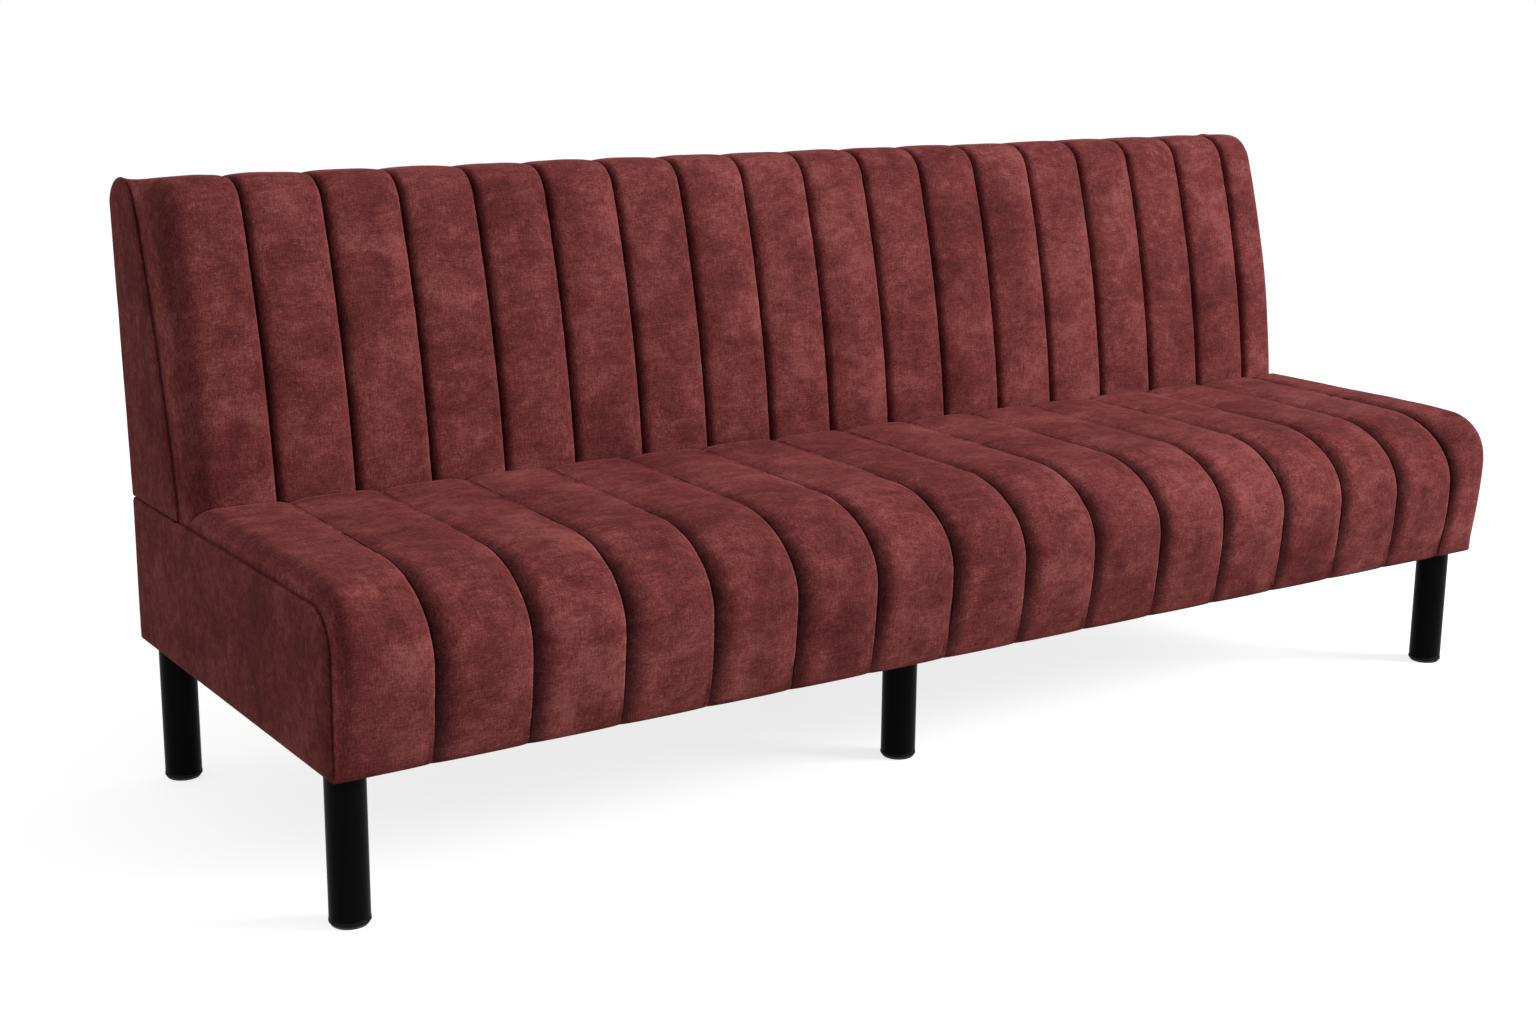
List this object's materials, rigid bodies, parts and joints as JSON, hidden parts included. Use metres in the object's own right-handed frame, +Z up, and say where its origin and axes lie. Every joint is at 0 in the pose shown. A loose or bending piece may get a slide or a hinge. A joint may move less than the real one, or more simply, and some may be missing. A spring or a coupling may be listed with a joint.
{
  "type": "restaurant bench",
  "caption": "Upholstered restaurant bench with channelled seat and reclined channelled back on round black legs with screw-adjustable feet.",
  "frame": {"origin": "on the floor under the middle of the whole bench, feet screwed fully in", "axes": "+X along the bench to the right of someone facing its front, +Y to its back, +Z up"},
  "size_m": [2, 0.7274, 0.8401],
  "materials": {
    "channelled_velvet": "burgundy crushed velvet sewn in channels",
    "plain_velvet": "burgundy crushed velvet, stretched flat",
    "foam": "upholstery foam",
    "dust_cloth": "black non-woven cloth",
    "plywood": "birch plywood",
    "softwood": "planed softwood",
    "leg_black": "satin black powder coat",
    "foot_black": "black steel, knurled rim",
    "black_plastic": "black moulded plastic",
    "zinc_steel": "zinc plated"
  },
  "bodies": {
    "bench": {"back_bolt_nuts": "zinc_steel", "back_bolts": "zinc_steel", "back_bottom_board": "plywood", "back_cushion": "channelled_velvet", "back_kick_board": "plywood", "back_panel": "plywood", "back_rear_cover": "plain_velvet", "back_rib_1": "plywood", "back_rib_2": "plywood", "back_rib_3": "plywood", "back_rib_4": "plywood", "back_rib_5": "plywood", "back_side_left": "plain_velvet", "back_side_right": "plain_velvet", "back_top_board": "plywood", "base_rear_cover": "plain_velvet", "corner_blocks": "softwood", "cross_rail_left": "softwood", "cross_rail_middle": "softwood", "cross_rail_right": "softwood", "dust_cover": "dust_cloth", "end_rail_left": "softwood", "end_rail_right": "softwood", "front_rail": "softwood", "leg_board_left": "plywood", "leg_board_middle": "plywood", "leg_board_right": "plywood", "leg_tee_nuts": "zinc_steel", "leg_thread_inserts": "black_plastic", "leg_top_plugs": "zinc_steel", "leg_tube_front_left": "leg_black", "leg_tube_front_middle": "leg_black", "leg_tube_front_right": "leg_black", "leg_tube_rear_left": "leg_black", "leg_tube_rear_middle": "leg_black", "leg_tube_rear_right": "leg_black", "rear_rail": "softwood", "seat_cushion": "channelled_velvet", "seat_deck": "plywood", "seat_foam": "foam", "seat_side_left": "plain_velvet", "seat_side_right": "plain_velvet"},
    "glide_front_left": {"foot_glide_front_left": "black_plastic"},
    "screw_front_left": {"foot_screw_front_left": "foot_black"},
    "glide_front_middle": {"foot_glide_front_middle": "black_plastic"},
    "screw_front_middle": {"foot_screw_front_middle": "foot_black"},
    "glide_front_right": {"foot_glide_front_right": "black_plastic"},
    "screw_front_right": {"foot_screw_front_right": "foot_black"},
    "glide_rear_left": {"foot_glide_rear_left": "black_plastic"},
    "screw_rear_left": {"foot_screw_rear_left": "foot_black"},
    "glide_rear_middle": {"foot_glide_rear_middle": "black_plastic"},
    "screw_rear_middle": {"foot_screw_rear_middle": "foot_black"},
    "glide_rear_right": {"foot_glide_rear_right": "black_plastic"},
    "screw_rear_right": {"foot_screw_rear_right": "foot_black"}
  },
  "joints": [
    {"name": "foot_lift_front_left", "type": "slide", "parent": "bench", "child": "glide_front_left", "axis": [0, 0, -1], "range_m": [0, 0.015]},
    {"name": "foot_turn_front_left", "type": "hinge", "parent": "glide_front_left", "child": "screw_front_left", "pos_m": [-0.962, -0.28673, 0.006], "axis": [0, 0, -1], "range_deg": [0, 3600]},
    {"name": "foot_lift_front_middle", "type": "slide", "parent": "bench", "child": "glide_front_middle", "axis": [0, 0, -1], "range_m": [0, 0.015]},
    {"name": "foot_turn_front_middle", "type": "hinge", "parent": "glide_front_middle", "child": "screw_front_middle", "pos_m": [-0.064, -0.17923, 0.006], "axis": [0, 0, -1], "range_deg": [0, 3600]},
    {"name": "foot_lift_front_right", "type": "slide", "parent": "bench", "child": "glide_front_right", "axis": [0, 0, -1], "range_m": [0, 0.015]},
    {"name": "foot_turn_front_right", "type": "hinge", "parent": "glide_front_right", "child": "screw_front_right", "pos_m": [0.962, -0.28673, 0.006], "axis": [0, 0, -1], "range_deg": [0, 3600]},
    {"name": "foot_lift_rear_left", "type": "slide", "parent": "bench", "child": "glide_rear_left", "axis": [0, 0, -1], "range_m": [0, 0.015]},
    {"name": "foot_turn_rear_left", "type": "hinge", "parent": "glide_rear_left", "child": "screw_rear_left", "pos_m": [-0.962, 0.29327, 0.006], "axis": [0, 0, -1], "range_deg": [0, 3600]},
    {"name": "foot_lift_rear_middle", "type": "slide", "parent": "bench", "child": "glide_rear_middle", "axis": [0, 0, -1], "range_m": [0, 0.015]},
    {"name": "foot_turn_rear_middle", "type": "hinge", "parent": "glide_rear_middle", "child": "screw_rear_middle", "pos_m": [-0.064, 0.18577, 0.006], "axis": [0, 0, -1], "range_deg": [0, 3600]},
    {"name": "foot_lift_rear_right", "type": "slide", "parent": "bench", "child": "glide_rear_right", "axis": [0, 0, -1], "range_m": [0, 0.015]},
    {"name": "foot_turn_rear_right", "type": "hinge", "parent": "glide_rear_right", "child": "screw_rear_right", "pos_m": [0.962, 0.29327, 0.006], "axis": [0, 0, -1], "range_deg": [0, 3600]}
  ],
  "couplings": [
    {"joint": "foot_turn_front_left", "follows": "foot_lift_front_left", "rad_per_m": 4188.8},
    {"joint": "foot_turn_front_middle", "follows": "foot_lift_front_middle", "rad_per_m": 4188.8},
    {"joint": "foot_turn_front_right", "follows": "foot_lift_front_right", "rad_per_m": 4188.8},
    {"joint": "foot_turn_rear_left", "follows": "foot_lift_rear_left", "rad_per_m": 4188.8},
    {"joint": "foot_turn_rear_middle", "follows": "foot_lift_rear_middle", "rad_per_m": 4188.8},
    {"joint": "foot_turn_rear_right", "follows": "foot_lift_rear_right", "rad_per_m": 4188.8}
  ]
}
